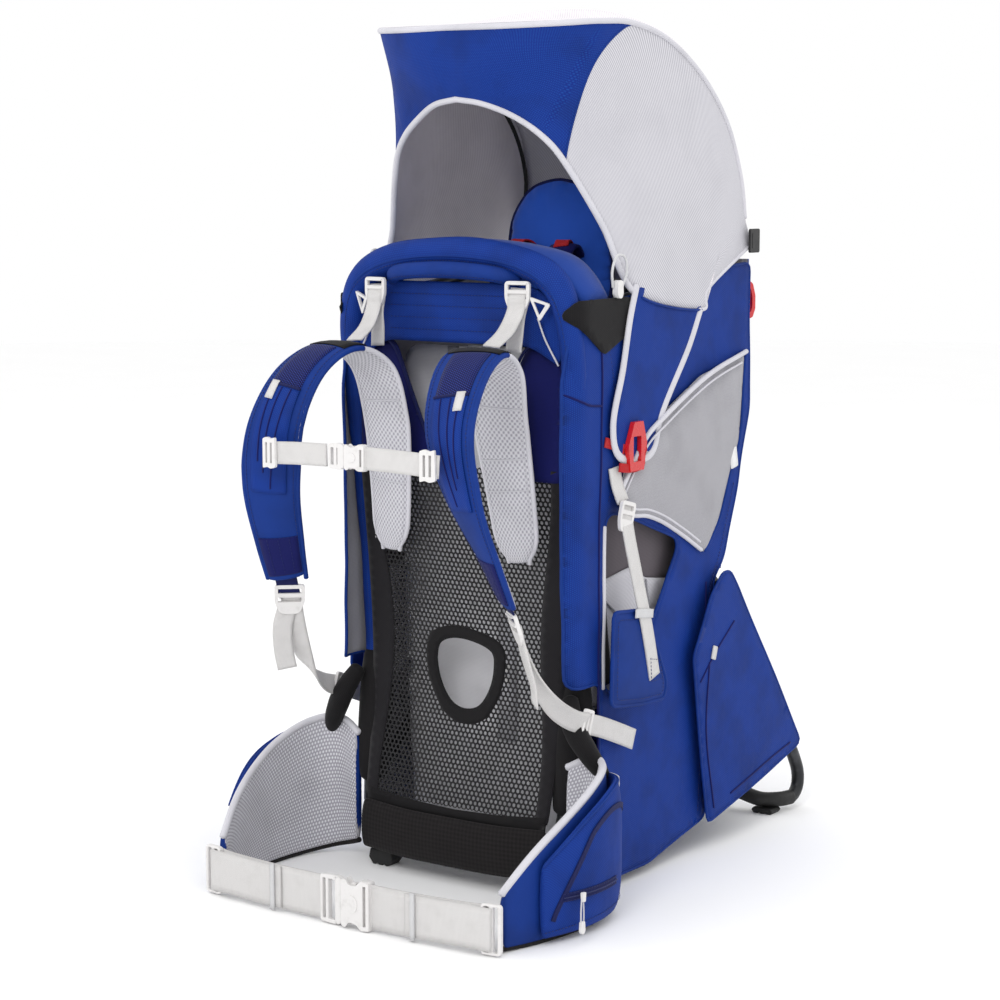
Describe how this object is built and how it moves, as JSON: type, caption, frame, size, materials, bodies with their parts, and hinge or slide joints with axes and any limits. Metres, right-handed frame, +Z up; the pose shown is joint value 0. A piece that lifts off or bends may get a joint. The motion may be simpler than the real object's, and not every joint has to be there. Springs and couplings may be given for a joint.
{
  "type": "child carrier backpack",
  "caption": "Framed child carrier backpack with a padded harness and hip belt, a child cockpit with foot stirrups, a fold-out kickstand and a swinging hooded sunshade.",
  "frame": {"origin": "on the ground under the middle of the outline", "axes": "+Z up, +X to the right of a viewer who faces the harness, and -Y towards the wearer"},
  "size_m": [0.482, 0.7304, 0.9814],
  "materials": {
    "blue_cloth": "matt woven",
    "grey_mesh": "matt knitted mesh",
    "black_mesh": "matt knitted mesh",
    "webbing": "matt woven webbing",
    "pale_plastic": "satin moulded",
    "frame_tube": "dark anodised",
    "rubber": "matt",
    "red_plastic": "gloss moulded"
  },
  "bodies": {
    "frame": {"side_panel_left": "blue_cloth", "side_panel_right": "blue_cloth", "hip_pocket_left": "blue_cloth", "hip_pocket_right": "blue_cloth", "mesh_pocket_left": "grey_mesh", "mesh_pocket_right": "grey_mesh", "hip_wing_left": "grey_mesh", "hip_wing_right": "grey_mesh", "shoulder_web_left": "webbing", "shoulder_web_right": "webbing", "hip_web_left": "webbing", "hip_web_right": "webbing", "lifter_buckle_left": "pale_plastic", "lifter_buckle_right": "pale_plastic", "hip_slider_left": "pale_plastic", "hip_slider_right": "pale_plastic", "hinge_bracket_left": "frame_tube", "hinge_bracket_right": "frame_tube", "front_foot_left": "rubber", "front_foot_right": "rubber", "rear_panel": "blue_cloth", "drool_pad": "blue_cloth", "storage_bag": "blue_cloth", "upper_back_panel": "blue_cloth", "grab_handle": "blue_cloth", "cockpit_front_panel": "grey_mesh", "back_mesh": "black_mesh", "lumbar_band": "black_mesh", "hip_socket": "pale_plastic", "perimeter_frame": "frame_tube", "cockpit_hoop": "frame_tube"},
    "harness": {"shoulder_strap_left": "blue_cloth", "shoulder_strap_right": "blue_cloth", "shoulder_buckle_left": "pale_plastic", "shoulder_buckle_right": "pale_plastic"},
    "sternum_strap": {"sternum_web_left": "webbing", "sternum_web_right": "webbing", "sternum_socket": "pale_plastic"},
    "sternum_buckle_plug": {"sternum_plug": "pale_plastic"},
    "hip_buckle_plug": {"hip_plug": "pale_plastic"},
    "kickstand": {"kickstand_tube": "frame_tube", "kickstand_panel": "blue_cloth", "gusset_left": "blue_cloth", "gusset_right": "blue_cloth", "kickstand_foot_left": "rubber", "kickstand_foot_right": "rubber"},
    "sunshade": {"sunshade_top": "grey_mesh", "sunshade_visor": "blue_cloth", "sunshade_rod": "rubber", "sunshade_side_left": "grey_mesh", "sunshade_side_right": "grey_mesh", "sunshade_hook_left": "red_plastic", "sunshade_hook_right": "red_plastic"},
    "child_seat": {"child_seat": "grey_mesh", "head_support": "blue_cloth"},
    "stirrup_left": {"stirrup_left": "blue_cloth"},
    "stirrup_right": {"stirrup_right": "blue_cloth"},
    "hip_zip_left": {"hip_zip_pull_left": "pale_plastic"},
    "hip_zip_right": {"hip_zip_pull_right": "pale_plastic"}
  },
  "joints": [
    {"name": "kickstand_fold", "type": "hinge", "parent": "frame", "child": "kickstand", "pos_m": [0, 0.156, 0.305], "axis": [-1, 0, 0], "range_deg": [0, 38]},
    {"name": "sunshade_swing", "type": "hinge", "parent": "frame", "child": "sunshade", "pos_m": [0, 0.202, 0.716], "axis": [-1, 0, 0], "range_deg": [0, 75]},
    {"name": "harness_height", "type": "slide", "parent": "frame", "child": "harness", "axis": [0, 0, 1], "range_m": [0, 0.05]},
    {"name": "sternum_height", "type": "slide", "parent": "harness", "child": "sternum_strap", "axis": [0, 0, 1], "range_m": [-0.03, 0.03]},
    {"name": "sternum_release", "type": "slide", "parent": "sternum_strap", "child": "sternum_buckle_plug", "axis": [-1, 0, 0], "range_m": [0, 0.022]},
    {"name": "hip_release", "type": "slide", "parent": "frame", "child": "hip_buckle_plug", "axis": [-1, 0, 0], "range_m": [0, 0.03]},
    {"name": "seat_height", "type": "slide", "parent": "frame", "child": "child_seat", "axis": [0, 0, 1], "range_m": [0, 0.08]},
    {"name": "stirrup_left_height", "type": "slide", "parent": "frame", "child": "stirrup_left", "axis": [0, 0, 1], "range_m": [-0.04, 0.05]},
    {"name": "stirrup_right_height", "type": "slide", "parent": "frame", "child": "stirrup_right", "axis": [0, 0, 1], "range_m": [-0.04, 0.05]},
    {"name": "hip_zip_left_slide", "type": "slide", "parent": "frame", "child": "hip_zip_left", "axis": [0, 1, 0], "range_m": [0, 0.06]},
    {"name": "hip_zip_right_slide", "type": "slide", "parent": "frame", "child": "hip_zip_right", "axis": [0, 1, 0], "range_m": [0, 0.06]}
  ]
}
